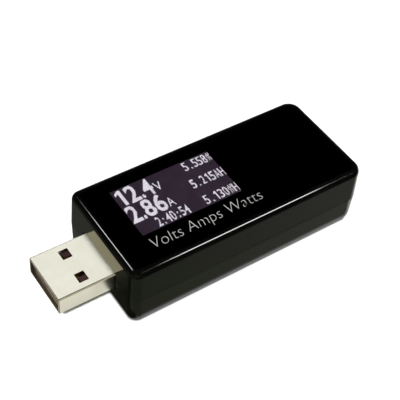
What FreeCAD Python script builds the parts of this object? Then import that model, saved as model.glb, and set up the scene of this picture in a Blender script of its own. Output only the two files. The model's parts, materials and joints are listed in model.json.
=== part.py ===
# A pocket USB power meter: a stick with a plug at one end, a socket at the other and a display on top.
#
# Frame: the origin is the middle of the case's flat underside. +X runs from the plug to the socket, +Z is up
# through the display, and +Y is the side with the push button. Every size is in millimetres.
import FreeCAD, Part
import math
import os

Vector = FreeCAD.Vector
ORIGIN = Vector(0, 0, 0)

# ---------------------------------------------------------------- driving sizes of the case
CASE_LENGTH = 56.4          # at the parting line, where the case is widest
CASE_WIDTH = 25.5
CASE_HEIGHT = 14.2
PARTING_Z = 6.5             # height at which the two shells meet
CORNER_RADII = (3.2, 2.2)   # upright corners at the socket end, and at the plug end
DRAFT_DEGREES = 2.0         # both shells lean inwards away from the parting line
TOP_ROUND = 1.3
BOTTOM_ROUND = 1.0
WALL = 1.5
PARTING_GROOVE = 0.07       # bevel on both shells that makes the fine line round the case
LIP_HEIGHT = 0.9            # the lower shell's lip stands inside the upper shell
LIP_THICKNESS = 0.7
LIP_GAP = 0.06

# ---------------------------------------------------------------- front panel and display
PANEL_INSET = 1.42          # from the side of the case to the edge of the panel, just inside the top round
PANEL_THICKNESS = 1.0
PANEL_BEVEL = 0.1
PANEL_CORNERS = (1.6, 0.7)
PANEL_GAP = 0.05
ADHESIVE_THICKNESS = 0.1
LEDGE_THICKNESS = 0.8       # the part of the upper shell that carries the panel
WINDOW_CENTRE = (-9.2, 2.3)
WINDOW_SIZE = (23.3, 12.86)
LEDGE_OPENING_MARGIN = 0.9
GLASS_SIZE = (26.7, 19.26)
GLASS_ABOVE_WINDOW = 1.1    # the glass stands out further on the +Y side of the window by this much
GLASS_THICKNESS = 0.65
BACK_GLASS_WIDTH = 14.5
POLARISER_SIZE = (25.2, 14.4)
POLARISER_THICKNESS = 0.15
DISPLAY_GAP = 0.1           # between the display and the ledge above it

# ---------------------------------------------------------------- circuit board
BOARD_LENGTH = 52.6
BOARD_WIDTH = 21.8
BOARD_THICKNESS = 1.2
BOARD_BOTTOM = 9.1
BOARD_CORNER = 1.2
POST_PLACE = (24.3, 9.3)
POST_RADIUS = 1.25

# ---------------------------------------------------------------- USB-A plug and socket
CONNECTOR_Z = 6.2           # middle height of the plug and the socket
SHEET = 0.3
PLUG_SIZE = (12.0, 4.5)
PLUG_REACH = 12.0           # how far the plug stands out of the case
PLUG_INSIDE = 6.0           # length of the plug's shell inside the case
PLUG_CORNER = 0.4
PLUG_OPENING_GAP = 0.4
LATCH_WINDOW = (2.05, 2.35)
LATCH_WINDOW_PLACE = (5.65, 3.2)
SEAM_WIDTH = 0.06           # the plug's shell is folded from sheet and meets along its underside
SOCKET_OPENING = (12.5, 5.12)
SOCKET_DEPTH = 13.8
SOCKET_CORNER = 0.5
SOCKET_RECESS = 0.1         # the socket's mouth sits this far behind the end wall
SOCKET_BLOCK_LENGTH = 1.7
FLARE_LENGTH = 0.8
FLARE_REACH = 0.5
SPRING_SAG = 0.45
CONTACT_PLACES = (-3.5, -1.0, 1.0, 3.5)
CONTACT_WIDTH = 1.0
CONTACT_THICKNESS = 0.24
CONTACT_GAP = 0.03
FOOT_LENGTH = 1.4
LEG_LENGTH = 1.6
LEG_ABOVE_BOARD = 0.6
LEG_SLOT_GAP = 0.15

# ---------------------------------------------------------------- push button and its switch
BUTTON_X = 8.0
BUTTON_SIZE = (6.0, 2.6)
BUTTON_PROUD = 0.7
BUTTON_GAP = 0.15
BUTTON_ROUND = 0.4
BUTTON_FLANGE = 0.4
BUTTON_FLANGE_THICKNESS = 0.7
BUTTON_TRAVEL = 0.25
SWITCH_SIZE = (6.0, 3.3, 3.3)
SWITCH_FRONT_Y = 8.6
SWITCH_SHEET = 0.2
PLUNGER_RADIUS = 1.5
PLUNGER_REACH = 1.25
PLUNGER_FLANGE = 0.5
DOME_RADIUS = 1.9
DOME_HEIGHT = 0.4
DOME_THICKNESS = 0.1

# ---------------------------------------------------------------- sizes that follow from those above
HALF_LENGTH = CASE_LENGTH / 2
HALF_WIDTH = CASE_WIDTH / 2
DRAFT = math.tan(math.radians(DRAFT_DEGREES))
TOP_SHRINK = DRAFT * (CASE_HEIGHT - PARTING_Z)
PANEL_LENGTH = CASE_LENGTH - 2 * (TOP_SHRINK + PANEL_INSET)
PANEL_WIDTH = CASE_WIDTH - 2 * (TOP_SHRINK + PANEL_INSET)
PANEL_BOTTOM = CASE_HEIGHT - PANEL_THICKNESS
LEDGE_TOP = PANEL_BOTTOM - ADHESIVE_THICKNESS
LEDGE_BOTTOM = LEDGE_TOP - LEDGE_THICKNESS
POLARISER_TOP = LEDGE_BOTTOM - DISPLAY_GAP
GLASS_TOP = POLARISER_TOP - POLARISER_THICKNESS
GLASS_BOTTOM = GLASS_TOP - GLASS_THICKNESS
BACK_GLASS_BOTTOM = GLASS_BOTTOM - GLASS_THICKNESS
GLASS_HIGH_Y = WINDOW_CENTRE[1] + WINDOW_SIZE[1] / 2 + GLASS_ABOVE_WINDOW
GLASS_LOW_Y = GLASS_HIGH_Y - GLASS_SIZE[1]
BOARD_TOP = BOARD_BOTTOM + BOARD_THICKNESS
PLUG_TIP_X = -HALF_LENGTH - PLUG_REACH
PLUG_REAR_X = -HALF_LENGTH + PLUG_INSIDE
PLUG_INNER = (PLUG_SIZE[0] - 2 * SHEET, PLUG_SIZE[1] - 2 * SHEET)
PLUG_TONGUE_TOP = CONNECTOR_Z
SOCKET_MOUTH_X = HALF_LENGTH - SOCKET_RECESS
SOCKET_REAR_X = SOCKET_MOUTH_X - SOCKET_DEPTH
SOCKET_OUTER = (SOCKET_OPENING[0] + 2 * SHEET, SOCKET_OPENING[1] + 2 * SHEET)
SOCKET_TONGUE_Z = (CONNECTOR_Z + 0.05, CONNECTOR_Z + 1.89)
BUTTON_Z = BOARD_BOTTOM - SWITCH_SIZE[2] / 2 - 0.05


# ---------------------------------------------------------------- building blocks
def box(x, y, z):
    """A box from its low and high values along each axis."""
    return Part.makeBox(x[1] - x[0], y[1] - y[0], z[1] - z[0], Vector(x[0], y[0], z[0]))


def joined(shapes):
    """One shape fused from many, with seams between coplanar faces removed."""
    first, *rest = shapes
    return first.fuse(rest).removeSplitter() if rest else first


def rounded_outline(length, width, radii, z, centre=(0.0, 0.0)):
    """A closed wire round a rectangle with rounded corners, at height z. radii is one radius, or a pair: the
    corners on the +X side, and those on the -X side."""
    high_x_radius, low_x_radius = radii if isinstance(radii, tuple) else (radii, radii)
    arcs = []
    for quarter, (side_x, side_y) in enumerate(((1, 1), (-1, 1), (-1, -1), (1, -1))):
        radius = high_x_radius if side_x > 0 else low_x_radius
        x = centre[0] + side_x * (length / 2 - radius)
        y = centre[1] + side_y * (width / 2 - radius)
        angles = [math.radians(90 * quarter + step) for step in (0, 45, 90)]
        arcs.append([Vector(x + radius * math.cos(a), y + radius * math.sin(a), z) for a in angles])
    edges = []
    for arc, following in zip(arcs, arcs[1:] + arcs[:1]):
        edges.append(Part.Arc(*arc).toShape())
        if arc[2].distanceToPoint(following[0]) > 1e-6:
            edges.append(Part.makeLine(arc[2], following[0]))
    return Part.Wire(edges)


def rounded_block(length, width, radii, z, centre=(0.0, 0.0)):
    """An upright block with rounded corners between two heights."""
    face = Part.Face(rounded_outline(length, width, radii, z[0], centre))
    return face.extrude(Vector(0, 0, z[1] - z[0]))


def along_x(shape):
    """Turn a shape built upright so that its own X, Y and Z run along Y, Z and X."""
    shape.rotate(ORIGIN, Vector(1, 1, 1), 120)
    return shape


def pill_along_y(length, height, y):
    """A bar with half-round ends that runs along Y, centred on the button's axis."""
    pill = rounded_block(length, height, height / 2, (-y[1], -y[0]))
    pill.rotate(ORIGIN, Vector(1, 0, 0), 90)
    pill.translate(Vector(BUTTON_X, 0, BUTTON_Z))
    return pill


def rod_along_y(radius, y):
    """A round rod along the button's axis."""
    return Part.makeCylinder(radius, y[1] - y[0], Vector(BUTTON_X, y[0], BUTTON_Z), Vector(0, 1, 0))


def edges_at(shape, z):
    """The edges of a shape that lie level at height z."""
    return [edge for edge in shape.Edges if all(abs(v.Z - z) < 1e-6 for v in edge.Vertexes)]


def bent_strip(points, thickness, width, at, across):
    """A bent metal strip of even thickness. points are its centre line as (run, z), and the strip is width
    wide along the axis named by across, centred on at."""
    steps = [(b[0] - a[0], b[1] - a[1]) for a, b in zip(points, points[1:])]
    normals = [(-dz / math.hypot(dx, dz), dx / math.hypot(dx, dz)) for dx, dz in steps]
    left, right = [], []
    for (run, z), before, after in zip(points, normals[:1] + normals, normals + normals[-1:]):
        reach = thickness / 2 / (1 + before[0] * after[0] + before[1] * after[1])
        offset = ((before[0] + after[0]) * reach, (before[1] + after[1]) * reach)
        left.append((run + offset[0], z + offset[1]))
        right.append((run - offset[0], z - offset[1]))
    outline = left + right[::-1] + left[:1]
    if across == "y":
        corners = [Vector(run, at - width / 2, z) for run, z in outline]
        sweep = Vector(0, width, 0)
    else:
        corners = [Vector(at - width / 2, run, z) for run, z in outline]
        sweep = Vector(width, 0, 0)
    return Part.Face(Part.makePolygon(corners)).extrude(sweep)


def mirrored_y(shape):
    """A copy of a shape on the other side of the case's middle plane."""
    return shape.mirror(ORIGIN, Vector(0, 1, 0))


# ---------------------------------------------------------------- case
def case_plan(inset):
    """Length, width and corner radii of the case's outline, set in by inset all round."""
    return CASE_LENGTH - 2 * inset, CASE_WIDTH - 2 * inset, tuple(radius - inset for radius in CORNER_RADII)


def case_form(inset, z_end):
    """One drafted half of the case's form, from the parting line to z_end, set in by inset all round."""
    shrink = DRAFT * abs(z_end - PARTING_Z)
    wide = rounded_outline(*case_plan(inset), PARTING_Z)
    narrow = rounded_outline(*case_plan(inset + shrink), z_end)
    return Part.makeLoft([wide, narrow], True, True)


def ring_block(inset, z):
    """An upright block with the case's outline, set in by inset."""
    return rounded_block(*case_plan(inset), z)


def snap_hooks(proud, length, z):
    """Blocks at the four snap hooks, which stand out of the lower shell's lip."""
    lip_y = HALF_WIDTH - WALL + LIP_THICKNESS
    hooks = []
    for x in (-18.0, 20.0):
        hook = box((x - length / 2, x + length / 2), (lip_y - 0.3, lip_y + proud), z)
        hooks += [hook, mirrored_y(hook)]
    return hooks


def wall_openings():
    """What is cut through the walls of both shells for the plug, the socket and the button."""
    plug_gap = 2 * PLUG_OPENING_GAP
    plug = along_x(rounded_block(PLUG_SIZE[0] + plug_gap, PLUG_SIZE[1] + plug_gap, PLUG_CORNER + PLUG_OPENING_GAP,
                                 (-HALF_LENGTH - 1, -HALF_LENGTH + WALL + 1), (0, CONNECTOR_Z)))
    flare = 2 * (FLARE_REACH + SHEET + 0.15)
    socket = along_x(rounded_block(SOCKET_OPENING[0] + flare, SOCKET_OPENING[1] + flare, 0.8,
                                   (HALF_LENGTH - WALL - 1, HALF_LENGTH + 1), (0, CONNECTOR_Z)))
    button = pill_along_y(BUTTON_SIZE[0] + 2 * BUTTON_GAP, BUTTON_SIZE[1] + 2 * BUTTON_GAP,
                          (HALF_WIDTH - WALL - 1, HALF_WIDTH + 1))
    return [plug, socket, button]


def posts(z):
    """Four round posts that hold the board at its corners."""
    return [Part.makeCylinder(POST_RADIUS, z[1] - z[0], Vector(side_x * POST_PLACE[0], side_y * POST_PLACE[1], z[0]))
            for side_x in (-1, 1) for side_y in (-1, 1)]


def panel_block(inset, z):
    """An upright block with the front panel's outline, set in by inset."""
    return rounded_block(PANEL_LENGTH - 2 * inset, PANEL_WIDTH - 2 * inset,
                         tuple(radius - inset for radius in PANEL_CORNERS), z)


def upper_shell():
    form = case_form(0, CASE_HEIGHT)
    form = form.makeFillet(TOP_ROUND, edges_at(form, CASE_HEIGHT))
    form = form.makeChamfer(PARTING_GROOVE, edges_at(form, PARTING_Z))
    lip_room = ring_block(WALL - LIP_THICKNESS - LIP_GAP, (PARTING_Z - 1, PARTING_Z + LIP_HEIGHT + LIP_GAP))
    recess = panel_block(-PANEL_GAP, (LEDGE_TOP, CASE_HEIGHT + 1))
    opening = rounded_block(WINDOW_SIZE[0] + 2 * LEDGE_OPENING_MARGIN, WINDOW_SIZE[1] + 2 * LEDGE_OPENING_MARGIN,
                            0.8, (LEDGE_BOTTOM - 1, LEDGE_TOP + 1), WINDOW_CENTRE)
    hook_room = snap_hooks(0.4, 5.4, (PARTING_Z + 0.25, PARTING_Z + 0.85))
    shell = form.cut([case_form(WALL, LEDGE_BOTTOM), lip_room, recess, opening] + hook_room)
    glass_ends = [WINDOW_CENTRE[0] + side * (GLASS_SIZE[0] / 2 + 0.2) for side in (-1, 1)]
    rib_y = (GLASS_LOW_Y + 1, GLASS_HIGH_Y - 1)
    rib_z = (GLASS_BOTTOM, LEDGE_BOTTOM)
    ribs = [box((glass_ends[0] - 0.8, glass_ends[0]), rib_y, rib_z),
            box((glass_ends[1], glass_ends[1] + 0.8), rib_y, rib_z)]
    shell = joined([shell] + ribs + posts((BOARD_TOP, LEDGE_BOTTOM)))
    return shell.cut(wall_openings())


def lower_shell():
    form = case_form(0, 0)
    form = form.makeFillet(BOTTOM_ROUND, edges_at(form, 0))
    form = form.makeChamfer(PARTING_GROOVE, edges_at(form, PARTING_Z))
    lip_z = (PARTING_Z - WALL, PARTING_Z + LIP_HEIGHT)
    lip = ring_block(WALL - LIP_THICKNESS, lip_z).cut(ring_block(WALL, lip_z))
    shell = joined([form.cut(case_form(WALL, WALL)), lip] + snap_hooks(0.3, 5.0, (PARTING_Z + 0.35, PARTING_Z + 0.75)))
    plug_bottom = CONNECTOR_Z - PLUG_SIZE[1] / 2
    socket_bottom = CONNECTOR_Z - SOCKET_OUTER[1] / 2
    saddles = [box((x, x + 0.8), (-half, half), (WALL - 0.1, top))
               for x, half, top in ((-25.5, 4.5, plug_bottom), (-23.3, 4.5, plug_bottom),
                                    (17.0, 5.0, socket_bottom), (24.5, 5.0, socket_bottom))]
    shell = joined([shell] + saddles + posts((WALL - 0.1, BOARD_BOTTOM)))
    return shell.cut(wall_openings())


def front_panel():
    panel = panel_block(0, (PANEL_BOTTOM, CASE_HEIGHT))
    return panel.makeChamfer(PANEL_BEVEL, edges_at(panel, CASE_HEIGHT))


def panel_adhesive():
    z = (LEDGE_TOP, PANEL_BOTTOM)
    sheet = panel_block(PANEL_GAP, z)
    return sheet.cut(rounded_block(*WINDOW_SIZE, 0.1, (z[0] - 1, z[1] + 1), WINDOW_CENTRE))


# ---------------------------------------------------------------- display
def display_sheet(size, centre_y, z):
    """A thin rectangular sheet of the display, centred on the window along X."""
    return rounded_block(*size, 0.15, z, (WINDOW_CENTRE[0], centre_y))


def display_ribbon():
    """The flexible tail: bonded under the glass ledge, turned back and soldered flat on the board."""
    thickness = 0.1
    top = GLASS_BOTTOM - thickness / 2
    bottom = BOARD_TOP + thickness / 2 + 0.01
    bend = (top - bottom) / 2
    bend_y = GLASS_LOW_Y - 0.3
    arc = [(bend_y + bend * math.cos(math.radians(a)), (top + bottom) / 2 + bend * math.sin(math.radians(a)))
           for a in range(90, 271, 15)]
    centre_line = [(GLASS_LOW_Y + 1.2, top)] + arc + [(GLASS_LOW_Y + 3.8, bottom)]
    return bent_strip(centre_line, thickness, 12.5, WINDOW_CENTRE[0], "x")


def display_driver_chip():
    y = GLASS_LOW_Y + 2.6
    return box((WINDOW_CENTRE[0] - 5.5, WINDOW_CENTRE[0] + 5.5), (y - 0.5, y + 0.5), (GLASS_BOTTOM - 0.3, GLASS_BOTTOM))


def display_nodes():
    back_y = GLASS_HIGH_Y - BACK_GLASS_WIDTH / 2
    return {
        "display_polariser": display_sheet(POLARISER_SIZE, WINDOW_CENTRE[1], (GLASS_TOP, POLARISER_TOP)),
        "display_glass": display_sheet(GLASS_SIZE, (GLASS_LOW_Y + GLASS_HIGH_Y) / 2, (GLASS_BOTTOM, GLASS_TOP)),
        "display_back_glass": display_sheet((GLASS_SIZE[0], BACK_GLASS_WIDTH), back_y,
                                            (BACK_GLASS_BOTTOM, GLASS_BOTTOM)),
        "display_driver_chip": display_driver_chip(),
        "display_ribbon": display_ribbon(),
        "display_pad": display_sheet((GLASS_SIZE[0] - 3, BACK_GLASS_WIDTH - 2), back_y,
                                     (BOARD_TOP, BACK_GLASS_BOTTOM)),
    }


# ---------------------------------------------------------------- plug and socket
def leg_pair(x, outer_width, clearance=0.0):
    """The two upright legs of a connector's shell, or with clearance the room they need in the board."""
    y = (outer_width / 2 - SHEET - clearance, outer_width / 2 + clearance)
    leg = box((x - LEG_LENGTH / 2 - clearance, x + LEG_LENGTH / 2 + clearance), y,
              (CONNECTOR_Z, BOARD_TOP + LEG_ABOVE_BOARD))
    return [leg, mirrored_y(leg)]


def plug_legs(clearance=0.0):
    return leg_pair(PLUG_REAR_X - 1.8, PLUG_SIZE[0], clearance)


def socket_legs(clearance=0.0):
    return leg_pair(SOCKET_REAR_X + 7.0, SOCKET_OUTER[0], clearance)


def contact_rooms(contacts_z, x):
    """The grooves and tunnels that an insulator needs for its four contacts."""
    half = CONTACT_WIDTH / 2 + CONTACT_GAP
    return [box(x, (y - half, y + half), contacts_z) for y in CONTACT_PLACES]


def plug_seam():
    """The fine seam along the underside of the plug's shell, locked by one dovetail."""
    dovetail_x = -HALF_LENGTH - LATCH_WINDOW_PLACE[0]
    line = [(PLUG_TIP_X - 1, 0), (dovetail_x - 0.7, 0), (dovetail_x - 1.0, 1.2), (dovetail_x + 1.0, 1.2),
            (dovetail_x + 0.7, 0), (PLUG_REAR_X + 1, 0)]
    seam = bent_strip(line, SEAM_WIDTH, 2 * SHEET, -(CONNECTOR_Z - PLUG_SIZE[1] / 2), "y")
    seam.rotate(ORIGIN, Vector(1, 0, 0), -90)
    return seam


def plug_shell():
    x = (PLUG_TIP_X, PLUG_REAR_X)
    outer = along_x(rounded_block(*PLUG_SIZE, PLUG_CORNER, x, (0, CONNECTOR_Z)))
    rim = [edge for edge in outer.Edges if all(abs(v.X - PLUG_TIP_X) < 1e-6 for v in edge.Vertexes)]
    outer = outer.makeChamfer(0.1, rim)
    inner = along_x(rounded_block(*PLUG_INNER, PLUG_CORNER - 0.2, (x[0] - 1, x[1] + 1), (0, CONNECTOR_Z)))
    window_x = -HALF_LENGTH - LATCH_WINDOW_PLACE[0]
    windows = [box((window_x - LATCH_WINDOW[0] / 2, window_x + LATCH_WINDOW[0] / 2),
                   (y - LATCH_WINDOW[1] / 2, y + LATCH_WINDOW[1] / 2), (0, CASE_HEIGHT))
               for y in (-LATCH_WINDOW_PLACE[1], LATCH_WINDOW_PLACE[1])]
    return joined([outer.cut([inner, plug_seam()] + windows)] + plug_legs())


def plug_contact_line():
    return PLUG_TONGUE_TOP + 0.03 - CONTACT_THICKNESS / 2


def insulator_core(opening, corner, x):
    """A bar that fills a connector's opening, with the opening's own rounded corners."""
    size = [side - 2 * CONTACT_GAP for side in opening]
    return along_x(rounded_block(*size, corner, x, (0, CONNECTOR_Z)))


def plug_insulator():
    """A block that fills the shell at its root, and a tongue along the lower half of the shell."""
    tip_x = PLUG_TIP_X + 0.6
    block_x = -HALF_LENGTH - 0.3
    core = insulator_core(PLUG_INNER, PLUG_CORNER - 0.2, (tip_x, PLUG_REAR_X + 0.2))
    tip = [e for e in core.Edges if all(abs(v.X - tip_x) < 1e-6 for v in e.Vertexes)]
    core = core.makeChamfer(0.15, tip)
    space = box((tip_x - 1, block_x), (-PLUG_SIZE[0], PLUG_SIZE[0]), (PLUG_TONGUE_TOP, CASE_HEIGHT))
    middle = plug_contact_line()
    room = CONTACT_THICKNESS / 2 + CONTACT_GAP
    rooms = contact_rooms((middle - room, middle + room), (PLUG_TIP_X + 1.0, PLUG_REAR_X + 1))
    return core.cut([space] + rooms)


def plug_contacts():
    """The two outer contacts reach nearer to the tip than the two inner ones."""
    run = plug_contact_line()
    foot = BOARD_BOTTOM - CONTACT_THICKNESS / 2
    riser_x = PLUG_REAR_X + 0.5
    contacts = []
    for y in CONTACT_PLACES:
        tip_x = PLUG_TIP_X + (1.2 if abs(y) > 2 else 2.2)
        line = [(tip_x, run), (riser_x, run), (riser_x, foot), (riser_x + FOOT_LENGTH, foot)]
        contacts.append(bent_strip(line, CONTACT_THICKNESS, CONTACT_WIDTH, y, "y"))
    return Part.Compound(contacts)


def flared_tube(wall):
    """The solid form of the socket's shell with its flared mouth, wall thicker than the opening all round."""
    size = (SOCKET_OPENING[0] + 2 * wall, SOCKET_OPENING[1] + 2 * wall)
    flare_x = SOCKET_MOUTH_X - FLARE_LENGTH
    corner = SOCKET_CORNER + wall
    straight = rounded_block(*size, corner, (SOCKET_REAR_X, flare_x), (0, CONNECTOR_Z))
    wide = (size[0] + 2 * FLARE_REACH, size[1] + 2 * FLARE_REACH)
    flare = Part.makeLoft([rounded_outline(*size, corner, flare_x, (0, CONNECTOR_Z)),
                           rounded_outline(*wide, corner, SOCKET_MOUTH_X, (0, CONNECTOR_Z))], True, True)
    return along_x(straight.fuse(flare))


def leaf_spring(wall_z, inwards):
    """One leaf spring of the socket as its centre line: rooted in the wall, sagging inwards, tip turned back."""
    root_x = SOCKET_REAR_X + 3.0
    return [(root_x - 0.5, wall_z), (root_x, wall_z), (root_x + 5.6, wall_z + inwards * SPRING_SAG),
            (root_x + 6.8, wall_z + inwards * SPRING_SAG * 0.5)]


def socket_shell():
    shell = flared_tube(SHEET).cut(flared_tube(0))
    corner_y = SOCKET_OPENING[0] / 2 - 0.6
    corner_z = SOCKET_OPENING[1] / 2 - 0.6
    far = FLARE_REACH + 2
    slits = [box((SOCKET_MOUTH_X - FLARE_LENGTH - 0.4, SOCKET_MOUTH_X + 1),
                 sorted((side_y * corner_y, side_y * (corner_y + far))),
                 sorted((CONNECTOR_Z + side_z * corner_z, CONNECTOR_Z + side_z * (corner_z + far))))
             for side_y in (-1, 1) for side_z in (-1, 1)]
    spring_x = (SOCKET_REAR_X + 3.0, SOCKET_REAR_X + 10.2)
    spring_width = 2.2
    room = spring_width / 2 + 0.35
    windows = [box(spring_x, (y - room, y + room), (0, CASE_HEIGHT)) for y in (-3.1, 3.1)]
    windows.append(box(spring_x, (-CASE_WIDTH, CASE_WIDTH), (CONNECTOR_Z - room, CONNECTOR_Z + room)))
    shell = shell.cut(slits + windows)
    springs = []
    middle = SOCKET_OPENING[1] / 2 + SHEET / 2
    for side in (-1, 1):
        line = leaf_spring(CONNECTOR_Z + side * middle, -side)
        springs += [bent_strip(line, SHEET, spring_width, y, "y") for y in (-3.1, 3.1)]
    side_line = leaf_spring(SOCKET_OPENING[0] / 2 + SHEET / 2, -1)
    side_spring = bent_strip(side_line, SHEET, spring_width, -CONNECTOR_Z, "y")
    side_spring.rotate(ORIGIN, Vector(1, 0, 0), -90)
    springs += [side_spring, mirrored_y(side_spring)]
    return joined([shell] + springs + socket_legs())


def socket_contact_line():
    return SOCKET_TONGUE_Z[0] + 0.1


def socket_insulator():
    """A block that closes the back of the shell, and a tongue along the upper half of the opening."""
    block_x = (SOCKET_REAR_X - 0.2, SOCKET_REAR_X + SOCKET_BLOCK_LENGTH)
    block = insulator_core(SOCKET_OPENING, SOCKET_CORNER, block_x)
    tongue = box((block_x[1], SOCKET_MOUTH_X - 1.0), (-5.5, 5.5), SOCKET_TONGUE_Z)
    front = [e for e in tongue.Edges if all(v.X > SOCKET_MOUTH_X - 1.1 for v in e.Vertexes)]
    tongue = tongue.makeChamfer(0.3, front)
    middle = socket_contact_line()
    room = CONTACT_THICKNESS / 2 + CONTACT_GAP
    tunnels = contact_rooms((middle - room, middle + room), (SOCKET_REAR_X - 1, block_x[1]))
    grooves = contact_rooms((SOCKET_TONGUE_Z[0] - 1, middle + room), (block_x[1], SOCKET_MOUTH_X - 2.0))
    return joined([tongue, block]).cut(tunnels + grooves)


def socket_contacts():
    """Sprung contacts under the tongue: each dips to a crown and turns back up near its tip."""
    run = socket_contact_line()
    foot = BOARD_BOTTOM - CONTACT_THICKNESS / 2
    riser_x = SOCKET_REAR_X - 0.5
    contacts = []
    for y in CONTACT_PLACES:
        crown_x = SOCKET_MOUTH_X - (3.6 if abs(y) > 2 else 4.6)
        line = [(riser_x - FOOT_LENGTH, foot), (riser_x, foot), (riser_x, run),
                (crown_x - 5.0, run), (crown_x, run - 0.4), (crown_x + 1.2, run - 0.05)]
        contacts.append(bent_strip(line, CONTACT_THICKNESS, CONTACT_WIDTH, y, "y"))
    return Part.Compound(contacts)


# ---------------------------------------------------------------- board and its parts
def main_board():
    board = rounded_block(BOARD_LENGTH, BOARD_WIDTH, BOARD_CORNER, (BOARD_BOTTOM, BOARD_TOP))
    button_room = box((BUTTON_X - 4.5, BUTTON_X + 4.5), (10.1, HALF_WIDTH), (0, CASE_HEIGHT))
    return board.cut(plug_legs(LEG_SLOT_GAP) + socket_legs(LEG_SLOT_GAP) + [button_room])


def under_board(shape, place, turn=0):
    """Turn a part built at the origin about the vertical, and hang it under the board at place."""
    shape.rotate(ORIGIN, Vector(0, 0, 1), turn)
    shape.translate(Vector(place[0], place[1], BOARD_BOTTOM))
    return shape


def moulded_body(size, stand):
    """The moulded block of a chip under a board at z = 0, bevelled round its lower face."""
    length, width, height = size
    block = box((-length / 2, length / 2), (-width / 2, width / 2), (-height - stand, -stand))
    return block.makeChamfer(0.2, edges_at(block, -height - stand))


def leads(body, xs, side, width, reach):
    """Gull-wing leads along one long side of a moulded body: side is 1 for +Y and -1 for -Y."""
    edge = body[1] / 2
    middle = -body[2] / 2 - 0.1
    thickness = 0.15
    line = [(side * (edge - 0.2), middle), (side * (edge + reach * 0.35), middle),
            (side * (edge + reach * 0.5), -thickness / 2), (side * (edge + reach), -thickness / 2)]
    return [bent_strip(line, thickness, width, x, "x") for x in xs]


def leaded_chip(body, count, pitch, lead_width, reach):
    """A chip with one row of leads along each long side."""
    xs = [(i - (count - 1) / 2) * pitch for i in range(count)]
    parts = [moulded_body(body, 0.1)]
    for side in (-1, 1):
        parts += leads(body, xs, side, lead_width, reach)
    return joined(parts)


def voltage_regulator():
    """Three leads along one side and a wide tab on the other."""
    body = (4.5, 2.5, 1.5)
    tab = box((-0.85, 0.85), (body[1] / 2 - 0.2, body[1] / 2 + 0.9), (-0.35, 0))
    return joined([moulded_body(body, 0.1), tab] + leads(body, (-1.5, 0.0, 1.5), -1, 0.45, 1.0))


def protection_diode():
    """A moulded block with a lead turned under it at each end."""
    body = (4.3, 2.6, 2.0)
    ends = []
    for side in (-1, 1):
        line = [(side * (body[0] / 2 - 0.2), -1.1), (side * (body[0] / 2 + 0.2), -1.1),
                (side * (body[0] / 2 + 0.2), -0.1), (side * (body[0] / 2 - 0.8), -0.1)]
        ends.append(bent_strip(line, 0.2, 1.5, 0, "y"))
    return joined([moulded_body(body, 0.2)] + ends)


def capped_block(length, width, height, cap):
    """A small chip part: a block with a slightly thicker metal cap on each end."""
    block = box((-length / 2 + cap / 2, length / 2 - cap / 2), (-width / 2 + 0.03, width / 2 - 0.03),
                (-height + 0.03, -0.03))
    caps = [box(sorted((side * (length / 2 - cap), side * length / 2)), (-width / 2, width / 2), (-height, 0))
            for side in (-1, 1)]
    return joined([block] + caps)


def capacitors():
    places = ((-16.5, 1.0, 90), (-16.5, 4.5, 90), (-1.0, 6.5, 0), (3.0, -2.0, 90), (9.0, -2.5, 0), (-12.5, 8.0, 0))
    return Part.Compound([under_board(capped_block(2.0, 1.25, 0.9, 0.4), (x, y), turn) for x, y, turn in places])


def resistors():
    places = ((-13.0, -1.5, 0), (-10.5, -1.5, 0), (-8.0, -1.5, 0), (-5.5, -2.0, 90), (-16.5, 8.5, 0),
              (-1.0, -9.0, 0), (6.0, -0.5, 90), (2.0, 3.5, 90), (4.0, 3.5, 90), (-9.0, 8.5, 0))
    return Part.Compound([under_board(capped_block(1.6, 0.8, 0.45, 0.3), (x, y), turn) for x, y, turn in places])


def board_nodes():
    return {
        "main_board": main_board(),
        "shunt_resistor": under_board(capped_block(6.4, 3.2, 0.7, 1.0), (-15.0, -5.5)),
        "controller_chip": under_board(leaded_chip((6.5, 4.4, 1.0), 10, 0.65, 0.22, 1.0), (-8.0, 3.5)),
        "amplifier_chip": under_board(leaded_chip((4.9, 3.9, 1.4), 4, 1.27, 0.4, 1.0), (-7.0, -6.0)),
        "voltage_regulator": under_board(voltage_regulator(), (2.0, -6.0)),
        "protection_diode": under_board(protection_diode(), (8.5, -6.5)),
        "capacitors": capacitors(),
        "resistors": resistors(),
    }


# ---------------------------------------------------------------- push button and switch
def button_cap():
    inner_wall_y = HALF_WIDTH - WALL
    flange_y = (inner_wall_y - 0.2 - BUTTON_FLANGE_THICKNESS, inner_wall_y - 0.2)
    cap = pill_along_y(*BUTTON_SIZE, (flange_y[0], HALF_WIDTH + BUTTON_PROUD))
    rim = [e for e in cap.Edges if all(abs(v.Y - HALF_WIDTH - BUTTON_PROUD) < 1e-6 for v in e.Vertexes)]
    cap = cap.makeFillet(BUTTON_ROUND, rim)
    flange = pill_along_y(BUTTON_SIZE[0] + 2 * BUTTON_FLANGE, BUTTON_SIZE[1] + 2 * BUTTON_FLANGE, flange_y)
    plunger_tip_y = SWITCH_FRONT_Y + PLUNGER_REACH
    presser = rod_along_y(1.0, (plunger_tip_y + 0.05, flange_y[0]))
    return joined([cap, flange, presser])


def switch_well_y():
    """The well is just deep enough for the dome, the plunger's foot and the plunger's travel."""
    return (SWITCH_FRONT_Y - PLUNGER_FLANGE - BUTTON_TRAVEL - DOME_HEIGHT - 0.15, SWITCH_FRONT_Y)


def switch_housing():
    length, depth, height = SWITCH_SIZE
    body = box((BUTTON_X - length / 2, BUTTON_X + length / 2), (SWITCH_FRONT_Y - depth, SWITCH_FRONT_Y),
               (BUTTON_Z - height / 2, BUTTON_Z + height / 2))
    low, high = switch_well_y()
    well = pill_along_y(4.6, 2 * height / 3 + 0.8, (low, high + 1))
    return body.cut(well)


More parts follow.
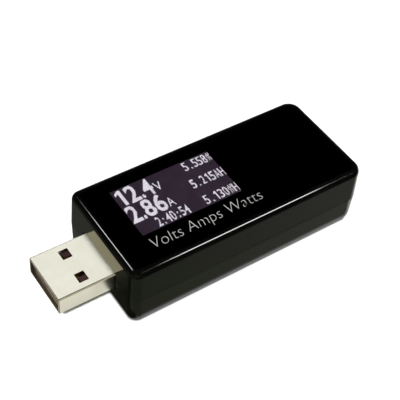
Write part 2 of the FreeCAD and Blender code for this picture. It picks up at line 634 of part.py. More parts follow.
def switch_frame():
    """A bent sheet over the switch's front, with a hole for the plunger and an arm back along each end."""
    length, depth, height = SWITCH_SIZE
    outer_x = length / 2 + SWITCH_SHEET + 0.02
    z = (BUTTON_Z - height / 2, BUTTON_Z + height / 2)
    front = box((BUTTON_X - outer_x, BUTTON_X + outer_x), (SWITCH_FRONT_Y, SWITCH_FRONT_Y + SWITCH_SHEET), z)
    front = front.cut(rod_along_y(PLUNGER_RADIUS + 0.06, (SWITCH_FRONT_Y - 1, SWITCH_FRONT_Y + 1)))
    arms = [box(sorted((BUTTON_X + side * (outer_x - SWITCH_SHEET), BUTTON_X + side * outer_x)),
                (SWITCH_FRONT_Y - depth + 0.8, SWITCH_FRONT_Y), z) for side in (-1, 1)]
    return joined([front] + arms)


def switch_plunger():
    """A round stem with flats above and below, and a wider foot that the frame holds in."""
    tip_y = SWITCH_FRONT_Y + PLUNGER_REACH
    foot_y = (SWITCH_FRONT_Y - PLUNGER_FLANGE - 0.02, SWITCH_FRONT_Y - 0.02)
    stem = rod_along_y(PLUNGER_RADIUS, (foot_y[0], tip_y))
    tip = [e for e in stem.Edges if all(abs(v.Y - tip_y) < 1e-6 for v in e.Vertexes)]
    stem = stem.makeFillet(0.25, tip)
    foot = pill_along_y(4.2, 2.8, foot_y)
    return joined([stem, foot.common(box((0, HALF_LENGTH), (0, HALF_WIDTH), (BUTTON_Z - 1.4, BUTTON_Z + 1.4)))])


def switch_dome():
    """A thin domed disc at the bottom of the switch's well, trimmed above and below."""
    rim_y = switch_well_y()[0]
    radius = (DOME_RADIUS ** 2 + DOME_HEIGHT ** 2) / (2 * DOME_HEIGHT)
    centre = Vector(BUTTON_X, rim_y + DOME_HEIGHT - radius, BUTTON_Z)
    skin = Part.makeSphere(radius, centre).cut(Part.makeSphere(radius - DOME_THICKNESS, centre))
    return skin.common(box((BUTTON_X - 3, BUTTON_X + 3), (rim_y, rim_y + 1), (BUTTON_Z - 1.3, BUTTON_Z + 1.3)))


def switch_terminals():
    """Flat feet from the back of the switch up to the board."""
    rear_y = SWITCH_FRONT_Y - SWITCH_SIZE[1]
    thickness = 0.2
    foot = BOARD_BOTTOM - thickness / 2
    line = [(rear_y - 0.01, BUTTON_Z), (rear_y - 0.4, BUTTON_Z), (rear_y - 0.4, foot), (rear_y - 1.6, foot)]
    return Part.Compound([bent_strip(line, thickness, 0.7, BUTTON_X + x, "x") for x in (-2.25, 2.25)])


# ---------------------------------------------------------------- all nodes
def all_nodes():
    nodes = {
        "upper_shell": upper_shell(),
        "lower_shell": lower_shell(),
        "front_panel": front_panel(),
        "panel_adhesive": panel_adhesive(),
        "plug_shell": plug_shell(),
        "plug_insulator": plug_insulator(),
        "plug_contacts": plug_contacts(),
        "socket_shell": socket_shell(),
        "socket_insulator": socket_insulator(),
        "socket_contacts": socket_contacts(),
        "button_cap": button_cap(),
        "switch_housing": switch_housing(),
        "switch_frame": switch_frame(),
        "switch_plunger": switch_plunger(),
        "switch_dome": switch_dome(),
        "switch_terminals": switch_terminals(),
    }
    nodes.update(display_nodes())
    nodes.update(board_nodes())
    return nodes


os.makedirs("parts", exist_ok=True)
for name, shape in all_nodes().items():
    assert shape.isValid() and shape.Solids, name
    shape.exportStep(f"parts/{name}.step")
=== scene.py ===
import functools
import json
import math

import bmesh
import bpy
from mathutils import Matrix, Vector
from mathutils.bvhtree import BVHTree


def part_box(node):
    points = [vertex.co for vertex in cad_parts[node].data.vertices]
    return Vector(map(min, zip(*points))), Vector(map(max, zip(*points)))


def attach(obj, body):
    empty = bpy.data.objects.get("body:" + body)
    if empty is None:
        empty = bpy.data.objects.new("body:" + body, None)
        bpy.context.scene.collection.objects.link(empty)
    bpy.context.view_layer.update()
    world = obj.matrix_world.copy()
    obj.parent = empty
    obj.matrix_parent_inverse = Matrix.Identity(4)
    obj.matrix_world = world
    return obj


MM = 0.001

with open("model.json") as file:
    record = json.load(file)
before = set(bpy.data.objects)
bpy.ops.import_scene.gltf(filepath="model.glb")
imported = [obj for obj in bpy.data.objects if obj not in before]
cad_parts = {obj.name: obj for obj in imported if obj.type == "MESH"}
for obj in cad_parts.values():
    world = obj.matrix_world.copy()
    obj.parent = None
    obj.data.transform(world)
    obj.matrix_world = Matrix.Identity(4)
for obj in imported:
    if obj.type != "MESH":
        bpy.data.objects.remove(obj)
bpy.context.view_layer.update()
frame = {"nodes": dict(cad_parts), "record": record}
nodes = frame["nodes"]

# ---------------------------------------------------------------- places read from the frame
CASE_LOW, CASE_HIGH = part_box("upper_shell")
CASE_LOW.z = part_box("lower_shell")[0].z
PANEL_LOW, PANEL_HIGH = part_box("front_panel")
SCREEN_LOW, SCREEN_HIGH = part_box("display_polariser")
PLUG_LOW, PLUG_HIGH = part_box("plug_shell")


# ---------------------------------------------------------------- shader building blocks
class Shader:
    """A node tree with short calls for adding nodes and joining them."""

    def __init__(self, block):
        block.use_nodes = True
        self.tree = block.node_tree
        self.tree.nodes.clear()

    def add(self, kind, values=None, **settings):
        """A new node. settings are its properties. values are its inputs, each a value or another node's
        output."""
        node = self.tree.nodes.new(kind)
        for name, value in settings.items():
            setattr(node, name, value)
        for name, value in (values or {}).items():
            if isinstance(value, bpy.types.NodeSocket):
                self.tree.links.new(value, node.inputs[name])
            else:
                node.inputs[name].default_value = value
        return node

    def millimetres(self, stretch=(1, 1, 1)):
        """The place on the object in millimetres, drawn out along each axis by stretch."""
        place = self.add("ShaderNodeTexCoord").outputs["Object"]
        scale = [1 / (MM * s) for s in stretch]
        return self.add("ShaderNodeMapping", {"Vector": place, "Scale": scale}).outputs["Vector"]

    def noise(self, place, size, detail=3.0):
        """Cloudy noise from 0 to 1 with features about size millimetres across."""
        values = {"Vector": place, "Scale": 1 / size, "Detail": detail}
        return self.add("ShaderNodeTexNoise", values).outputs["Fac"]

    def ranged(self, value, low, high, start=0.3, end=0.7):
        """value from start..end spread over low..high."""
        return self.add("ShaderNodeMapRange", {"Value": value, "From Min": start, "From Max": end,
                                               "To Min": low, "To Max": high}).outputs["Result"]

    def maths(self, operation, a, b=0.0):
        """Two numbers joined by a Math node's operation."""
        return self.add("ShaderNodeMath", {0: a, 1: b}, operation=operation).outputs[0]

    def vector_maths(self, operation, a, b=(0, 0, 0)):
        """A node that joins two vectors."""
        return self.add("ShaderNodeVectorMath", {0: a, 1: b}, operation=operation)

    def mixed(self, share, a, b):
        """The colour a where share is 0 and b where it is 1."""
        return self.add("ShaderNodeMix", {0: share, 6: a, 7: b}, data_type="RGBA").outputs[2]

    def surface(self, shader):
        """Makes a shader node the material's surface."""
        self.add("ShaderNodeOutputMaterial", {"Surface": shader.outputs[0]})


def rgba(colour, factor=1.0):
    """A colour made lighter or darker by a factor, with full alpha."""
    return tuple(min(1.0, c * factor) for c in colour) + (1.0,)


# ---------------------------------------------------------------- one recipe for the plain materials
DUST_SPECK = 0.09       # mm
DUST_COLOUR = (0.55, 0.53, 0.50, 1.0)


def finish_material(name, colour, roughness, metallic=0.0, spread=0.12, patch=6.0, grain=0.15, depth=0.002,
                    stretch=(1, 1, 1), dust=0.0, specular=0.5):
    """Patches of lighter and darker colour, uneven roughness, a fine grain in the surface and thin dust.
    patch and grain are feature sizes and depth is the grain's height, all in millimetres."""
    block = bpy.data.materials.new(name)
    shader = Shader(block)
    place = shader.millimetres()
    patches = shader.noise(place, patch)
    patches = shader.ranged(patches, 0.0, 1.0)
    base = shader.mixed(patches, rgba(colour, 1 - spread), rgba(colour, 1 + spread))
    specks = shader.noise(place, DUST_SPECK, 2.0)
    base = shader.mixed(shader.ranged(specks, 0.0, dust, 0.62, 0.78), base, DUST_COLOUR)
    uneven = shader.noise(place, patch / 3, 4.0)
    rough = shader.ranged(uneven, roughness * 0.82, roughness * 1.2)
    grains = shader.noise(shader.millimetres(stretch), grain, 2.0)
    bump = shader.add("ShaderNodeBump", {"Height": grains, "Distance": depth * MM, "Strength": 1.0})
    shader.surface(shader.add("ShaderNodeBsdfPrincipled", {
        "Base Color": base, "Metallic": metallic, "Roughness": rough, "Normal": bump.outputs[0],
        "Specular IOR Level": specular}))
    return block


# each material slot of the record that the plain recipe covers
PLAIN_FINISHES = {
    "case_plastic": dict(colour=(0.0013, 0.0013, 0.0011), roughness=0.08, spread=0.3, patch=9.0, grain=0.4,
                         depth=0.0001, dust=0.006),
    "black_adhesive": dict(colour=(0.0007, 0.0007, 0.0007), roughness=0.6, specular=0.1),
    "silicon": dict(colour=(0.10, 0.10, 0.11), roughness=0.15, grain=0.05, depth=0.0003),
    "flex_film": dict(colour=(0.55, 0.28, 0.06), roughness=0.35, stretch=(0.3, 6, 1), grain=0.3),
    "foam": dict(colour=(0.05, 0.05, 0.05), roughness=0.95, grain=0.2, depth=0.03, specular=0.1),
    "board_laminate": dict(colour=(0.02, 0.13, 0.06), roughness=0.42, spread=0.2, grain=0.5, depth=0.004),
    "insulator_plastic": dict(colour=(0.036, 0.018, 0.018), roughness=0.45, grain=0.2, depth=0.003),
    "gold_plate": dict(colour=(0.83, 0.60, 0.22), roughness=0.25, metallic=1.0, stretch=(8, 1, 1),
                       grain=0.06, depth=0.001),
    "chip_epoxy": dict(colour=(0.045, 0.045, 0.047), roughness=0.6, grain=0.08, depth=0.003),
    "resistor_body": dict(colour=(0.05, 0.05, 0.055), roughness=0.35, spread=0.25),
    "capacitor_body": dict(colour=(0.50, 0.38, 0.25), roughness=0.5, spread=0.2),
    "switch_plastic": dict(colour=(0.035, 0.035, 0.037), roughness=0.5),
    "plunger_plastic": dict(colour=(0.62, 0.60, 0.54), roughness=0.45),
    "tinned_steel": dict(colour=(0.66, 0.66, 0.64), roughness=0.32, metallic=1.0, stretch=(1, 1, 8),
                         grain=0.06, depth=0.001),
    "button_plastic": dict(colour=(0.008, 0.008, 0.0075), roughness=0.4, grain=0.12, depth=0.003, dust=0.04),
}


def nickel_material():
    """Bright warm plate on rolled sheet: fine lines along the sheet, faint tarnish and rubbed scratches."""
    block = bpy.data.materials.new("nickel_plate")
    shader = Shader(block)
    place = shader.millimetres()
    clouds = shader.noise(place, 3.5, 4.0)
    tarnish = shader.ranged(clouds, 0.0, 1.0)
    base = shader.mixed(tarnish, (0.80, 0.785, 0.66, 1.0), (0.88, 0.865, 0.755, 1.0))
    lines = shader.noise(shader.millimetres((14, 1, 1)), 0.07, 3.0)
    scratches = shader.noise(shader.millimetres((1, 9, 1)), 0.12, 2.0)
    rough = shader.maths("ADD", shader.ranged(clouds, 0.22, 0.26), shader.ranged(lines, -0.02, 0.02))
    height = shader.maths("ADD", lines, shader.ranged(scratches, 0.0, 0.35, 0.66, 0.74))
    bump = shader.add("ShaderNodeBump", {"Height": height, "Distance": 0.00025 * MM, "Strength": 1.0})
    shader.surface(shader.add("ShaderNodeBsdfPrincipled", {
        "Base Color": base, "Metallic": 1.0, "Roughness": rough, "Normal": bump.outputs[0]}))
    return block


def panel_material():
    """Clear polished sheet with hairline scratches and the odd trace of a finger."""
    block = bpy.data.materials.new("panel_acrylic")
    shader = Shader(block)
    place = shader.millimetres()
    touch = shader.noise(place, 7.0, 5.0)
    hairs = shader.noise(shader.millimetres((10, 0.6, 1)), 0.12, 2.0)
    rough = shader.ranged(touch, 0.015, 0.045, 0.45, 0.75)
    bump = shader.add("ShaderNodeBump", {"Height": shader.ranged(hairs, 0.0, 1.0, 0.70, 0.78),
                                         "Distance": 0.0002 * MM, "Strength": 1.0})
    shader.surface(shader.add("ShaderNodeBsdfPrincipled", {
        "Base Color": (0.93, 0.93, 0.94, 1.0), "Roughness": rough, "Transmission Weight": 1.0, "IOR": 1.49,
        "Normal": bump.outputs[0]}))
    return block


def glass_material():
    """Smoky display glass."""
    block = bpy.data.materials.new("display_glass")
    shader = Shader(block)
    tint = shader.noise(shader.millimetres(), 5.0)
    base = shader.mixed(tint, (0.055, 0.048, 0.06, 1.0), (0.075, 0.065, 0.08, 1.0))
    rough = shader.ranged(tint, 0.03, 0.08)
    shader.surface(shader.add("ShaderNodeBsdfPrincipled", {"Base Color": base, "Roughness": rough}))
    return block


materials = {slot: finish_material(slot, **values) for slot, values in PLAIN_FINISHES.items()}
materials["nickel_plate"] = nickel_material()
materials["panel_acrylic"] = panel_material()
materials["display_glass"] = glass_material()
materials["polariser_film"] = materials["display_glass"]

for part in frame["record"]["subparts"]:
    mesh = nodes[part["node"]].data
    mesh.materials.clear()
    mesh.materials.append(materials[part["material_slot"]])


# ---------------------------------------------------------------- lit display
def glowing(name, colour, strength, patch):
    """An evenly lit surface with slightly cloudy brightness."""
    block = bpy.data.materials.new(name)
    shader = Shader(block)
    clouds = shader.noise(shader.millimetres(), patch)
    tint = shader.mixed(shader.ranged(clouds, 0.0, 1.0), rgba(colour, 0.9), rgba(colour, 1.1))
    shader.surface(shader.add("ShaderNodeBsdfPrincipled", {
        "Base Color": rgba(colour, 0.05), "Roughness": 0.4, "Emission Color": tint,
        "Emission Strength": strength}))
    return block


def mesh_object(name, build, material, body="case"):
    """A new piece whose mesh build(bm) makes in the row frame."""
    bm = bmesh.new()
    build(bm)
    mesh = bpy.data.meshes.new(name)
    bm.to_mesh(mesh)
    bm.free()
    mesh.materials.append(material)
    piece = bpy.data.objects.new(name, mesh)
    bpy.context.scene.collection.objects.link(piece)
    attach(piece, body)
    return piece


def add_tile(bm, low, high):
    """A small flat block between two corners."""
    matrix = Matrix.Translation((low + high) / 2) @ Matrix.Diagonal((*(high - low), 1.0))
    bmesh.ops.create_cube(bm, size=1.0, matrix=matrix)


def font_mesh(text, weight=0.0, slant=0.0):
    """Text in the built-in font at size 1, as flat triangles: (points, polygons)."""
    curve = bpy.data.curves.new("letters", "FONT")
    curve.body = text
    curve.offset = weight
    curve.shear = slant
    holder = bpy.data.objects.new("letters", curve)
    bpy.context.scene.collection.objects.link(holder)
    bpy.context.view_layer.update()
    mesh = bpy.data.meshes.new_from_object(holder.evaluated_get(bpy.context.evaluated_depsgraph_get()))
    points = [v.co.copy() for v in mesh.vertices]
    polygons = [tuple(p.vertices) for p in mesh.polygons]
    bpy.data.objects.remove(holder)
    bpy.data.curves.remove(curve)
    bpy.data.meshes.remove(mesh)
    return points, polygons


CAPITAL_HEIGHT = max(p.y for p in font_mesh("H")[0])


@functools.lru_cache(maxsize=None)
def letters_mesh(text, weight=0.0, slant=0.0):
    """Text as font_mesh makes it, scaled so that its capital letters are 1 tall."""
    points, polygons = font_mesh(text, weight, slant)
    return [point / CAPITAL_HEIGHT for point in points], polygons


# the figure one with a flag, which the built-in font draws as a plain bar: 1 wide and 1 tall
ONE_OUTLINE = ((0.52, 0), (1, 0), (1, 1), (0.66, 1), (0, 0.84), (0, 0.68), (0.52, 0.79))
ONE_POINTS = [Vector((x, y, 0)) for x, y in ONE_OUTLINE]
ONE_POLYGONS = [(0, 1, 2, 3, 6), (3, 4, 5, 6)]

# the picture area, and the grid of square pixels that fills it; places in the picture are in pixels from its
# upper left corner
PIXEL = 0.1456 * MM
PICTURE_LEFT = SCREEN_LOW.x + 1.5 * MM
PICTURE_TOP = SCREEN_HIGH.y
NARROW = {".": 0.28, ":": 0.28, "1": 0.66}     # glyph widths as a share of a full digit's
POINT_CELL = 0.26                              # room for a decimal point as a share of a digit's
PIXEL_GAP = 0.04 * PIXEL                       # dark rim left on each side of a lit pixel
GROUND_MARGIN = 0.02 * MM
GROUND_HEIGHT = 0.02 * MM
PIXEL_HEIGHT = 0.01 * MM


def glyph_cells(letter, centre, top, height, width, weight):
    """The grid cells under one letter stretched to a set width and height round its centre line."""
    points, polygons = (ONE_POINTS, ONE_POLYGONS) if letter == "1" else letters_mesh(letter, weight)
    low = min(p.x for p in points)
    wide = max(p.x for p in points) - low
    points = [Vector(((p.x - low) / wide * width - width / 2, p.y * height, 0)) for p in points]
    tree = BVHTree.FromPolygons(points, polygons)
    cells = set()
    for row in range(int(top), int(top + height) + 2):
        for column in range(int(centre - width), int(centre + width) + 1):
            spot = Vector((column + 0.5 - centre, top + height - row - 0.5, 1.0))
            if tree.ray_cast(spot, Vector((0, 0, -1)))[0]:
                cells.add((column, row))
    return cells


def even_line(text, left, top, height, width, advance, weight):
    """A line of text in which every character has a cell of the same width."""
    cells = set()
    for place, letter in enumerate(text):
        wide = width * NARROW.get(letter, 1.0)
        cells |= glyph_cells(letter, left + (place + 0.5) * advance, top, height, wide, weight)
    return cells


def large_line(text, right, top, height, width, gap, weight):
    """A line of large digits set from its right end, with a narrow cell for the decimal point."""
    cells = set()
    for letter in reversed(text):
        room = width * (POINT_CELL if letter == "." else 1.0)
        wide = room if letter == "." else width * NARROW.get(letter, 1.0)
        cells |= glyph_cells(letter, right - room / 2, top, height, wide, weight)
        right -= room + gap
    return cells


def picture_cells():
    """Every lit pixel of the reading on the display."""
    large = dict(right=57.5, height=29.4, width=15.7, gap=2.0, weight=0.022)
    small = dict(height=15.8, width=6.6, weight=0.006)
    cells = large_line("12.4", top=2.5, **large) | large_line("2.86", top=35.6, **large)
    cells |= glyph_cells("V", 64.1, 15.0, 15.6, 10.6, 0.0)
    cells |= glyph_cells("A", 63.8, 48.1, 15.6, 9.6, 0.0)
    cells |= even_line("2:40:54", 27.0, 70.6, advance=7.5, **small)
    cells |= even_line("5.558W", 112.8, 3.1, advance=8.0, **small)
    cells |= even_line("5.215AH", 104.8, 36.4, advance=8.0, **small)
    cells |= even_line("5.130WH", 104.8, 70.2, advance=8.0, **small)
    return sorted(cells)


def build_pixels(bm):
    """One tile for each lit pixel that is inside the screen."""
    rim = Vector((PIXEL_GAP, PIXEL_GAP, 0))
    size = Vector((PIXEL, PIXEL, PIXEL_HEIGHT))
    for column, row in picture_cells():
        x = PICTURE_LEFT + column * PIXEL
        y = PICTURE_TOP - (row + 1) * PIXEL
        if x + PIXEL < SCREEN_HIGH.x:
            low = Vector((x, y, SCREEN_HIGH.z + GROUND_HEIGHT))
            add_tile(bm, low + rim, low + size - rim)


def build_ground(bm):
    """The dim unlit area of the display under the pixels. Its faint glow is painted light, in place of the
    lamps' light that reaches it through the panel.
    """
    margin = Vector((GROUND_MARGIN, GROUND_MARGIN, 0))
    low = Vector((SCREEN_LOW.x, SCREEN_LOW.y, SCREEN_HIGH.z)) + margin
    add_tile(bm, low, SCREEN_HIGH - margin + Vector((0, 0, GROUND_HEIGHT)))


lit_pixels = glowing("lit_pixels", (0.85, 0.81, 0.88), 1.0, 2.0)
# painted light: the unlit display area glows faintly instead of being lit through the clear panel
ground_painted_glow = glowing("ground_painted_glow", (0.0312, 0.0208, 0.0347), 1.0, 3.0)
mesh_object("display_pixels", build_pixels, lit_pixels)
mesh_object("display_ground", build_ground, ground_painted_glow)


# ---------------------------------------------------------------- printed label
def label_material():
    """Thin grey screen-printed ink with slightly uneven cover."""
    block = bpy.data.materials.new("label_ink")
    shader = Shader(block)
    place = shader.millimetres()
    cover = shader.noise(place, 0.6, 4.0)
    cover = shader.ranged(cover, 0.0, 1.0)
    base = shader.mixed(cover, (0.30, 0.30, 0.29, 1.0), (0.40, 0.40, 0.39, 1.0))
    bump = shader.add("ShaderNodeBump", {"Height": shader.noise(place, 0.08), "Distance": 0.001 * MM})
    shader.surface(shader.add("ShaderNodeBsdfPrincipled", {
        "Base Color": base, "Roughness": 0.55, "Normal": bump.outputs[0]}))
    return block


LABEL = "Volts Amps Watts"
LABEL_LEFT = CASE_LOW.x + 7.5 * MM
LABEL_LENGTH = 25.6 * MM
LABEL_BASELINE = CASE_LOW.y + 4.35 * MM
LABEL_HEIGHT = 2.65 * MM
LABEL_WEIGHT = -0.024          # thinner than the built-in font draws it
LABEL_SLANT = 0.17
LABEL_CLEARANCE = 0.004 * MM   # keeps the ink off the panel's own surface
LABEL_INK = 0.012 * MM


def build_label(bm):
    """The label's letters as a thin layer of ink on the panel."""
    points, polygons = letters_mesh(LABEL, LABEL_WEIGHT, LABEL_SLANT)
    low = min(p.x for p in points)
    stretch = LABEL_LENGTH / (max(p.x for p in points) - low)
    corner = Vector((LABEL_LEFT, LABEL_BASELINE, PANEL_HIGH.z + LABEL_CLEARANCE))
    verts = [bm.verts.new(corner + Vector(((p.x - low) * stretch, p.y * LABEL_HEIGHT, 0))) for p in points]
    for polygon in polygons:
        bm.faces.new([verts[i] for i in polygon])
    made = bmesh.ops.extrude_face_region(bm, geom=list(bm.faces))
    raised = [v for v in made["geom"] if isinstance(v, bmesh.types.BMVert)]
    bmesh.ops.translate(bm, vec=(0, 0, LABEL_INK), verts=raised)
    bmesh.ops.recalc_face_normals(bm, faces=list(bm.faces))


mesh_object("panel_label", build_label, label_material())


# ---------------------------------------------------------------- studio
def outside(shader, place, low, high):
    """Distance from a box between two corners, and 0 inside it."""
    middle, half = (low + high) / 2, (high - low) / 2
    offset = shader.vector_maths("SUBTRACT", place, middle).outputs[0]
    offset = shader.vector_maths("ABSOLUTE", offset).outputs[0]
    offset = shader.vector_maths("SUBTRACT", offset, half).outputs[0]
    offset = shader.vector_maths("MAXIMUM", offset).outputs[0]
    return shader.vector_maths("LENGTH", offset).outputs["Value"]


def painted_floor_reflection(shader, place):
    """What shiny surfaces see of the floor, a painted reflection: pale, with dim grey painted patches beside
    the case and past its plug end, in place of dark cards.
    Every edge of a patch is a soft one, over the distance that its ranged() call gives."""
    axes = shader.add("ShaderNodeSeparateXYZ", {"Vector": place})
    x, y = axes.outputs["X"], axes.outputs["Y"]
    side, end, far_end = CASE_LOW.y, CASE_LOW.x, CASE_HIGH.x
    along = shader.ranged(x, 0.0, 1.0, end, far_end)
    # painted reflection: a dim grey patch, lighter towards the socket end, that shiny walls see beside the
    # case
    painted_side_reflection = shader.mixed(along, (0.145, 0.165, 0.11, 1), (0.235, 0.24, 0.205, 1))
    reach = shader.ranged(y, 0.0, 1.0, side - 28 * MM, side - 11 * MM)
    painted_side_reflection = shader.mixed(reach, (0, 0, 0, 1), painted_side_reflection)
    across = shader.ranged(y, 0.0, 1.0, side + 8 * MM, side + 15 * MM)
    painted_end_reflection = shader.mixed(across, (0.03, 0.03, 0.02, 1), (0.14, 0.145, 0.115, 1))
    past_end = shader.ranged(x, 1.0, 0.0, end + 0.5 * MM, end + 1.5 * MM)
    colour = shader.mixed(past_end, (0.95, 0.95, 0.93, 1), painted_end_reflection)
    setback = shader.ranged(x, 0.0, 1.8 * MM, far_end - 0.5 * MM, far_end + 1.5 * MM)
    corner = shader.ranged(x, 2.5 * MM, 0.0, end - 2.5 * MM, end - 0.5 * MM)
    painted_patch_edge = shader.maths("SUBTRACT", shader.maths("ADD", y, setback), corner)
    beside = shader.ranged(painted_patch_edge, 1.0, 0.0, side - 0.8 * MM, side - 0.4 * MM)
    return shader.mixed(beside, colour, painted_side_reflection)


SHADOW_LINE_CORNER = 2.2 * MM      # corner radius of the painted contact shadow along the foot of the case
SHADOW_LINE_SHORTER = 1.4 * MM     # how far the painted shadow stops short of the socket end
FLOOR_SIZE = 3.0


def floor_material():
    """Pale floor with a fine painted contact shadow along the foot of the case, and a painted reflection for
    shiny surfaces.
    """
    block = bpy.data.materials.new("studio_floor")
    shader = Shader(block)
    place = shader.add("ShaderNodeNewGeometry").outputs["Position"]
    clouds = shader.noise(shader.millimetres(), 8.0)
    pale = shader.mixed(clouds, (0.86, 0.86, 0.86, 1.0), (0.88, 0.88, 0.88, 1.0))
    inset = Vector((SHADOW_LINE_CORNER, SHADOW_LINE_CORNER, 0))
    shorter = Vector((SHADOW_LINE_SHORTER, 0, 0))
    away = outside(shader, place, CASE_LOW + inset, CASE_HIGH - inset - shorter)
    # painted shadow: the floor's colour is darkened in a thin line along the foot of the case
    painted_contact_shadow = shader.ranged(away, 0.0, 1.0, SHADOW_LINE_CORNER - 0.45 * MM, SHADOW_LINE_CORNER + 0.05 * MM)
    pale = shader.mixed(painted_contact_shadow, (0.07, 0.07, 0.07, 1.0), pale)
    lit = shader.add("ShaderNodeBsdfDiffuse", {"Color": pale})
    # painted reflection: shiny surfaces see this glowing pattern instead of the lit floor
    seen = shader.add("ShaderNodeEmission", {"Color": painted_floor_reflection(shader, place), "Strength": 1.0})
    shiny = shader.add("ShaderNodeLightPath").outputs["Is Glossy Ray"]
    shader.surface(shader.add("ShaderNodeMixShader", {0: shiny, 1: lit.outputs[0], 2: seen.outputs[0]}))
    return block


def build_floor():
    """A large plane at the height the case rests on."""
    bpy.ops.mesh.primitive_plane_add(size=FLOOR_SIZE, location=(0, 0, 0))
    floor = bpy.context.object
    floor.name = "studio_floor"
    floor.data.materials.append(floor_material())
    return floor


EVEN_LIGHT = 0.28
FRONT_LIGHT = 5.0
FRONT_LIGHT_ANGLE = math.radians(6)
SECOND_BOUNCE = 2.5            # a light seen in a first surface has a smaller ray depth than this


def build_world():
    """Even white light on matt surfaces; shiny ones see a dark room with one dim side behind the camera."""
    world = bpy.data.worlds.new("studio")
    bpy.context.scene.world = world
    shader = Shader(world)
    direction = shader.add("ShaderNodeTexCoord").outputs["Generated"]
    dim_side = Vector((-0.6, -0.75, 0.1)).normalized()
    facing = shader.vector_maths("DOT_PRODUCT", direction, dim_side).outputs["Value"]
    glow = shader.ranged(facing, 0.002, 0.12, 0.6, 0.95)
    shiny = shader.add("ShaderNodeLightPath").outputs["Is Glossy Ray"]
    values = {0: shiny, 2: EVEN_LIGHT, 3: glow}
    strength = shader.add("ShaderNodeMix", values, data_type="FLOAT").outputs[0]
    camera_ray = shader.add("ShaderNodeLightPath").outputs["Is Camera Ray"]
    strength = shader.maths("MAXIMUM", strength, camera_ray)
    background = shader.add("ShaderNodeBackground", {"Color": (1, 1, 1, 1), "Strength": strength})
    shader.add("ShaderNodeOutputWorld", {"Surface": background.outputs[0]})


SHELLS = ("upper_shell", "lower_shell", "front_panel")


def light_group(name, members):
    """A collection of objects for a light to be linked to."""
    group = bpy.data.collections.new(name)
    for member in members:
        group.objects.link(member)
    return group


def aimed(name, light, direction, distance, target):
    """A lamp at a distance in a direction from its target, turned to face it."""
    lamp = bpy.data.objects.new(name, light)
    bpy.context.scene.collection.objects.link(lamp)
    away = Vector(direction).normalized()
    along = away.cross(Vector((1, 0, 0))).normalized()
    across = along.cross(away).normalized()
    turn = Matrix((across, along, away)).transposed().to_4x4()
    lamp.matrix_world = Matrix.Translation(Vector(target) + away * distance) @ turn
    return lamp


def softbox(name, direction, distance, size, radiance, target, receivers, blockers, colour=(1, 1, 1)):
    """A rectangular light in a direction from its target, with a set brightness when looked at. Only the
    receivers are lit by it, and only the blockers shade it. distance and size are in metres."""
    light = bpy.data.lights.new(name, "AREA")
    light.shape = "RECTANGLE"
    light.size, light.size_y = size
    light.energy = radiance * math.pi * size[0] * size[1]
    light.color = colour
    lamp = aimed(name, light, direction, distance, target)
    lamp.light_linking.receiver_collection = receivers
    lamp.light_linking.blocker_collection = blockers
    return light


def seen_once(light):
    """The light shows in the first surface it is mirrored by, and not in one surface by way of another."""
    light.use_nodes = True
    tree = light.node_tree
    depth = tree.nodes.new("ShaderNodeLightPath").outputs["Ray Depth"]
    first = tree.nodes.new("ShaderNodeMath")
    first.operation = "LESS_THAN"
    first.inputs[1].default_value = SECOND_BOUNCE
    tree.links.new(depth, first.inputs[0])
    tree.links.new(first.outputs[0], tree.nodes["Emission"].inputs["Strength"])


def front_light(slope_x, slope_y):
    """The main light on matt surfaces: a soft-edged sun from just above the camera, unseen in shiny ones."""
    light = bpy.data.lights.new("front_light", "SUN")
    light.energy = FRONT_LIGHT
    light.angle = FRONT_LIGHT_ANGLE
    lamp = aimed("front_light", light, (slope_x, slope_y, 1), 1.0, (0, 0, 0))
    lamp.visible_glossy = False


def build_edge_lights(floor):
    """Two bright lights that show as the fine lines along the panel's near and plug-end edges."""
    top_middle = Vector((0, 0, CASE_HIGH.z))
    shells = [nodes[name] for name in SHELLS]
    lit = light_group("black_shells", shells + [nodes["button_cap"]])
    shades = light_group("black_shades", shells + [floor])
    for name, direction, size, radiance in (
            ("long_edge_light", (0.436, -0.4347, 0.7768), (0.19, 0.2), 24.0),
            ("plug_edge_light", (-0.191, 0.53, 0.8085), (0.16, 0.09), 17.0)):
        seen_once(softbox(name, direction, 1.0, size, radiance, top_middle, lit, shades))


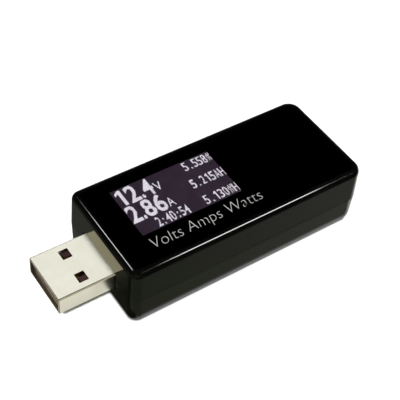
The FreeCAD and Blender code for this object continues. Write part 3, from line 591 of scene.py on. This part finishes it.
def build_plug_lights():
    """Soft lights that give each face of the bright connectors its even pale tone."""
    plug_middle = (PLUG_LOW + PLUG_HIGH) / 2
    connectors = [nodes[name] for name in ("plug_shell", "socket_shell")]
    insulators = [nodes[name] for name in ("plug_insulator", "socket_insulator")]
    contacts = [nodes[name] for name in ("plug_contacts", "socket_contacts")]
    bright = light_group("bright_metal", connectors + contacts)
    tip = light_group("plug_tip", [nodes["plug_insulator"], nodes["plug_shell"]])
    metal = light_group("metal_shades", connectors + insulators)
    metal_and_case = light_group("side_shades", connectors + [nodes[name] for name in SHELLS])
    lights = (
        ("plug_key_light", (0.282, 0.551, 0.785), 0.8, (0.7, 0.7), 0.98, bright, metal, (1.0, 1.0, 1.0)),
        ("plug_side_light", (0.284, -0.524, -0.803), 0.5, (0.5, 0.5), 0.72, bright, metal_and_case,
         (1.0, 0.99, 0.95)),
        ("plug_fold_light", (0.284, -0.85, 0.35), 0.8, (0.9, 0.9), 0.60, bright, metal, (1.0, 0.92, 0.75)),
        ("plug_tip_light", (-0.284, 0.551, -0.785), 0.5, (0.4, 0.4), 0.7, tip, metal, (1.0, 0.86, 0.70)),
        ("plug_mirror_light", (-0.313, 0.551, 0.774), 0.8, (0.3, 0.4), 1.8, bright, metal,
         (1.0, 0.93, 0.68)))
    for name, direction, distance, size, radiance, receivers, blockers, colour in lights:
        softbox(name, direction, distance, size, radiance, plug_middle, receivers, blockers, colour)


build_edge_lights(build_floor())
build_plug_lights()
front_light(-0.5, -0.5)
build_world()


# ---------------------------------------------------------------- camera
CAMERA_TARGET = Vector((-1.975, 3.460, 6.0)) * MM
CAMERA_BACK = Vector((-0.4160, -0.5277, 0.7406))     # from the target towards the camera
CAMERA_DISTANCE = 207.73 * MM
CAMERA_ROLL = math.radians(5.98)
CAMERA_LENS = 89.55


def build_camera():
    """The camera at CAMERA_DISTANCE from its target, turned by CAMERA_ROLL about its own axis."""
    camera = bpy.data.cameras.new("camera")
    camera.lens = CAMERA_LENS
    camera.sensor_width = 36.0
    camera.clip_start, camera.clip_end = 0.01, 10.0
    holder = bpy.data.objects.new("camera", camera)
    bpy.context.scene.collection.objects.link(holder)
    back = CAMERA_BACK.normalized()
    level = Vector((0, 0, 1)).cross(back).normalized()
    upright = back.cross(level)
    right = level * math.cos(CAMERA_ROLL) + upright * math.sin(CAMERA_ROLL)
    up = upright * math.cos(CAMERA_ROLL) - level * math.sin(CAMERA_ROLL)
    place = CAMERA_TARGET + back * CAMERA_DISTANCE
    holder.matrix_world = Matrix.Translation(place) @ Matrix((right, up, back)).transposed().to_4x4()
    bpy.context.scene.camera = holder


build_camera()
bpy.context.scene.view_settings.view_transform = "Standard"

bpy.context.view_layer.update()
